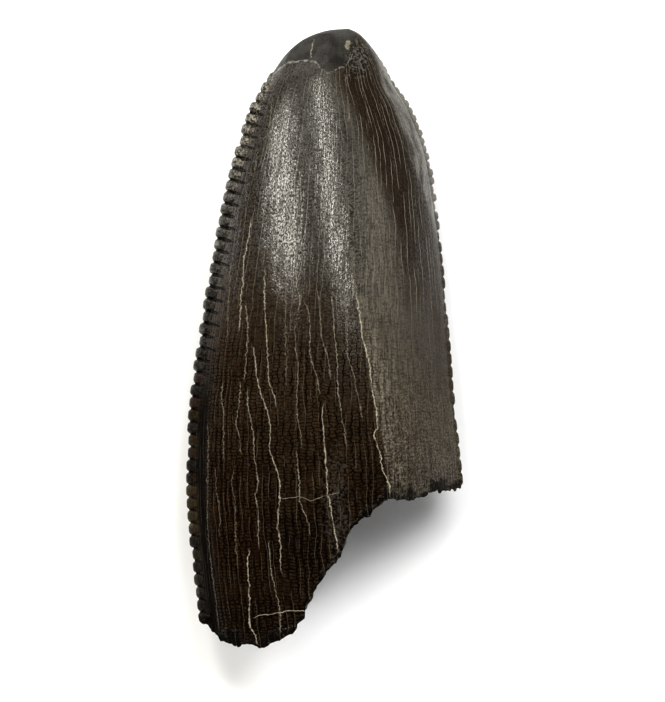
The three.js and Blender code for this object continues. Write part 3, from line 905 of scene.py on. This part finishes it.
    # relief, in mm: coarse grains towards the tip, fine ones below
    matt = maker.minus(1.0, maker.times(polished, 0.95))
    height = maker.times(grain, within(y, 'reliefUp'), matt)
    height = maker.scaled(maker.times(fineStreak, matt), 0.005, height)
    height = maker.scaled(netLine, -0.001, height)
    height = maker.scaled(maker.times(spall, maker.noise(place, 4.0, 4, 0.65)), 0.09, height)
    height = maker.scaled(sulcus, -0.05, height)
    height = maker.scaled(maker.times(maker.noise(around, 0.9, 2), matt), 0.025, height)
    bump = maker.add('ShaderNodeBump', {'Strength': 1.0, 'Distance': mm, 'Height': height})[0]
    maker.put(shader.inputs['Normal'], bump)
    return finish


broken = {
    'dark': (0.012, 0.0095, 0.007),
    'pale': (0.075, 0.064, 0.048),
    'speck': (0.28, 0.26, 0.21),
}


def makeBrokenDentine():
    finish = bpy.data.materials.new('brokenDentine')
    finish.use_nodes = True
    maker = NodeMaker(finish.node_tree)
    shader = finish.node_tree.nodes['Principled BSDF']
    place = maker.add('ShaderNodeVectorMath', {0: maker.add('ShaderNodeTexCoord')['Object'],
                                               'Scale': 1 / mm}, operation='SCALE')[0]
    lump = maker.noise(place, 1.4, 4, 0.6)
    grain = maker.noise(place, 8.0, 3, 0.6)
    colour = maker.mix(maker.step(lump, 0.35, 0.68), broken['dark'], broken['pale'])
    colour = maker.mix(maker.step(grain, 0.62, 0.72, 0.0, 0.7), colour, broken['speck'])
    maker.put(shader.inputs['Base Color'], colour)
    maker.put(shader.inputs['Roughness'], maker.scaled(grain, 0.3, 0.5))
    height = maker.scaled(lump, 0.12, maker.times(grain, 0.05))
    maker.put(shader.inputs['Normal'], maker.add('ShaderNodeBump', {'Strength': 1.0, 'Distance': mm,
                                                                    'Height': height})[0])
    return finish


def makeTooth():
    tooth = makeCrown()
    print('crown lofted', countTriangles(tooth), 'triangles')
    tooth = joinAll([tooth, makeDenticles()], 'fossilTooth')
    print('denticles set along both edges')
    cutFlat(tooth, wear['facetPoint'], facetNormal())
    cutFlat(tooth, *wear['tipEnd'])
    pickOnly(tooth)
    tooth.data.remesh_voxel_size = wear['voxel']
    bpy.ops.object.voxel_remesh()
    factor, times = wear['smoothing']
    applyModifier(tooth, 'SMOOTH', factor=factor, iterations=times)
    print('remeshed', countTriangles(tooth), 'triangles')
    applyModifier(tooth, 'DECIMATE', ratio=wear['triangles'] / countTriangles(tooth))
    cutFlat(tooth, (0, 0, crown['restLevel']), (0, 0, -1))
    tooth.data.materials.append(makeEnamel())
    tooth.data.materials.append(makeBrokenDentine())
    print('enamel and broken face finished')
    cutAway(tooth, makeBrokenBase(), 1)
    markPlaces(tooth)
    print('worn and broken', countTriangles(tooth), 'triangles')
    tooth.location = toFrame * mm
    tooth.scale = (mm, mm, mm)
    pickOnly(tooth)
    applyPlace()
    bpy.ops.object.shade_smooth_by_angle(angle=math.radians(wear['sharpAngle']))
    return tooth


tooth = makeTooth()
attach(tooth, 'root')
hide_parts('tooth')


view = {
    'centre': (0.4218, -0.8353),  # mm, where the camera looks straight down
    'tall': 34.24,             # mm, how much of the frame it sees at the cutting edges' height
    'edgeHeight': 4.0,
    'lens': 400, 'sensor': 36,
    'look': 'High Contrast',
}
floorPaint = {'size': 1.2, 'shade': 0.96, 'roughness': 0.9, 'specular': 0.1}
# azimuth 0 is the tip's side, and it turns towards the front edge; distances and sizes are in metres
lights = {
    'topSoftbox': {'azimuth': 28, 'elevation': 64, 'distance': 0.30, 'size': (0.12, 0.12), 'power': 0.5,
                   'glossy': False},
    'topStrip': {'azimuth': -20, 'elevation': 57, 'distance': 0.30, 'size': (0.028, 0.18), 'power': 0.235,
                 'tint': (1, 0.975, 0.9)},
    'leftStrip': {'azimuth': -60, 'elevation': 38, 'distance': 0.30, 'size': (0.06, 0.16), 'power': 0.28,
                  'tint': (1, 0.975, 0.9)},
    'lowFill': {'azimuth': -115, 'elevation': 42, 'distance': 0.35, 'size': (0.16, 0.16), 'power': 0.4,
                'glossy': False},
}


def makeFloor():
    pickNone()
    bpy.ops.mesh.primitive_plane_add(size=floorPaint['size'])
    floor = bpy.context.object
    floor.name = 'floor'
    paint = bpy.data.materials.new('paleFloor')
    paint.use_nodes = True
    shader = paint.node_tree.nodes['Principled BSDF']
    shader.inputs['Base Color'].default_value = (*(floorPaint['shade'],) * 3, 1)
    shader.inputs['Roughness'].default_value = floorPaint['roughness']
    shader.inputs['Specular IOR Level'].default_value = floorPaint['specular']
    floor.data.materials.append(paint)


def makeSoftbox(name, azimuth, elevation, distance, size, power, glossy=True, tint=(1, 1, 1)):
    azimuth, elevation = math.radians(azimuth), math.radians(elevation)
    pickNone()
    towards = Vector((math.sin(azimuth) * math.cos(elevation), math.cos(azimuth) * math.cos(elevation),
                      math.sin(elevation)))
    bpy.ops.object.light_add(type='AREA', location=towards * distance)
    box = bpy.context.object
    box.name = name
    box.data.shape = 'RECTANGLE'
    box.data.size, box.data.size_y = size
    box.data.energy = power
    box.data.color = tint
    box.visible_glossy = glossy
    box.rotation_euler = (-towards).to_track_quat('-Z', 'Y').to_euler()


def makeCamera():
    distance = view['lens'] * view['tall'] / view['sensor']
    spot = Vector((view['centre'][0], view['centre'][1], view['edgeHeight'] + distance)) * mm
    bpy.ops.object.camera_add(location=spot, rotation=(0, 0, 0))
    camera = bpy.context.object
    camera.data.lens = view['lens']
    camera.data.sensor_fit = 'AUTO'
    camera.data.sensor_width = view['sensor']
    camera.data.clip_start = 0.01
    camera.data.clip_end = 10
    bpy.context.scene.camera = camera


def lightWorld(tree):
    # a dark room with a pale card on the front edge's side, and a little light along the floor
    maker = NodeMaker(tree)
    x, y, z = maker.split(maker.add('ShaderNodeTexCoord')['Generated'])
    card = maker.times(maker.step(x, 0.1, 0.5), maker.step(z, 0.97, 0.85), maker.step(z, 0.1, 0.3))
    glow = maker.scaled(card, 0.6, maker.step(z, 0.0, 0.3, 0.2, 0.01))
    tree.links.new(maker.combine(glow, glow, glow), tree.nodes['Background'].inputs['Color'])


makeFloor()
for name, settings in lights.items():
    makeSoftbox(name, **settings)
makeCamera()
world = bpy.data.worlds.new('studio')
world.use_nodes = True
lightWorld(world.node_tree)
bpy.context.scene.world = world
bpy.context.scene.view_settings.view_transform = 'Standard'
bpy.context.scene.view_settings.look = view['look']
print('floor, lights and camera placed')
